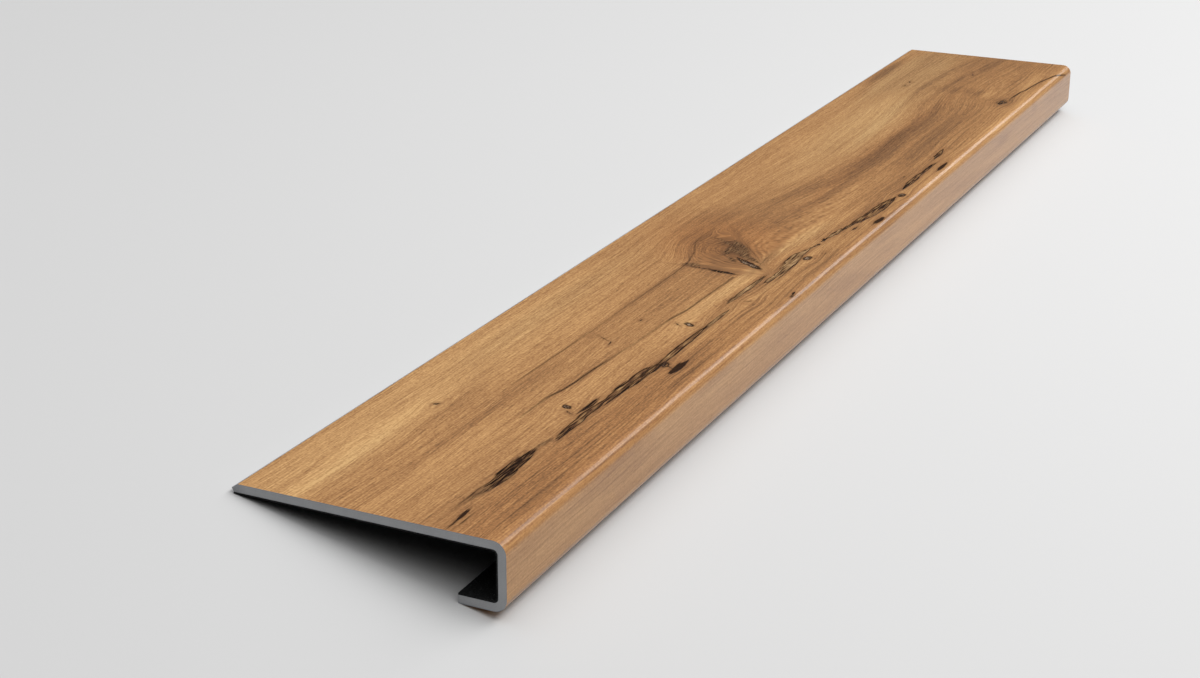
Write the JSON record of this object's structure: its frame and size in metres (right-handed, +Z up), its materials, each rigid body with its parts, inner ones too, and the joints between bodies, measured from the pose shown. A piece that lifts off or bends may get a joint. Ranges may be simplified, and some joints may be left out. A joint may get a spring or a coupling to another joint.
{
  "type": "stair tread",
  "caption": "Long stair tread cover bent into a hook: wood-look top, rounded nose, short return lip below, grey core and black foam backing.",
  "frame": {"origin": "on the floor, under the middle of the part's box, as it rests on the foot of its lip and on its back edge", "axes": "+X along the length, +Y from the nose to the back edge, +Z up"},
  "size_m": [1.2, 0.1726, 0.0451],
  "materials": {
    "decor_film": "printed rustic wood, embossed, matte",
    "rigid_core": "sawn grey mineral-filled vinyl",
    "underlay_pad": "black closed-cell foam"
  },
  "bodies": {
    "root": {"decor_film": "decor_film", "rigid_core": "rigid_core", "underlay_pad": "underlay_pad"}
  },
  "joints": []
}
